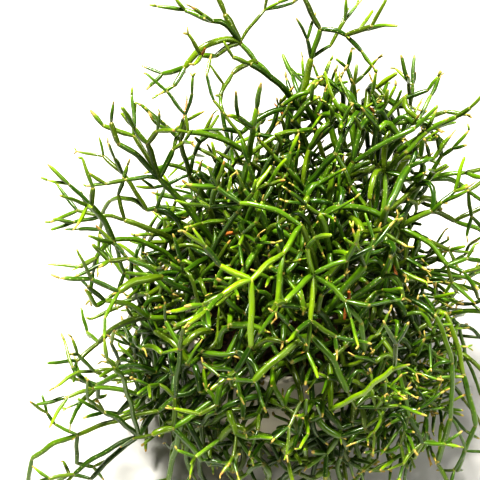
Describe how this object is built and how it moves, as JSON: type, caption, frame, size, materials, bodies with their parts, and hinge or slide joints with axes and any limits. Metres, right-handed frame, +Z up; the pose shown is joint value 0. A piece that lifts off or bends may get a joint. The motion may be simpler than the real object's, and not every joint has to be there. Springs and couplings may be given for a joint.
{
  "type": "potted rhipsalis prismatica",
  "caption": "Bushy jointed rhipsalis cactus with arching and trailing angular green stems, rooted in soil in a plain round tapered pot.",
  "frame": {"origin": "middle of the pot's flat foot, on the surface that it stands on", "axes": "+Z up through the plant, -Y towards the side seen in the picture, +X to the picture's right"},
  "size_m": [0.2202, 0.1822, 0.2136],
  "materials": {
    "pot": "plain off-white moulded plastic, faint satin",
    "soil": "damp dark potting mix with bark crumbs, rough",
    "stem": "waxy green cactus skin, glossy, with small pale specks and tan dried tips"
  },
  "bodies": {
    "root": {"pot": "pot", "soil": "soil", "stem_01": "stem", "stem_02": "stem", "stem_03": "stem", "stem_04": "stem", "stem_05": "stem", "stem_06": "stem", "stem_07": "stem", "stem_08": "stem", "stem_09": "stem", "stem_10": "stem", "stem_11": "stem", "stem_12": "stem", "stem_13": "stem", "stem_14": "stem", "stem_15": "stem", "stem_16": "stem", "stem_17": "stem", "stem_18": "stem", "stem_19": "stem", "stem_20": "stem", "stem_21": "stem", "stem_22": "stem", "stem_23": "stem", "stem_24": "stem", "stem_25": "stem", "stem_26": "stem", "stem_27": "stem", "stem_28": "stem", "stem_29": "stem", "stem_30": "stem"}
  },
  "joints": []
}
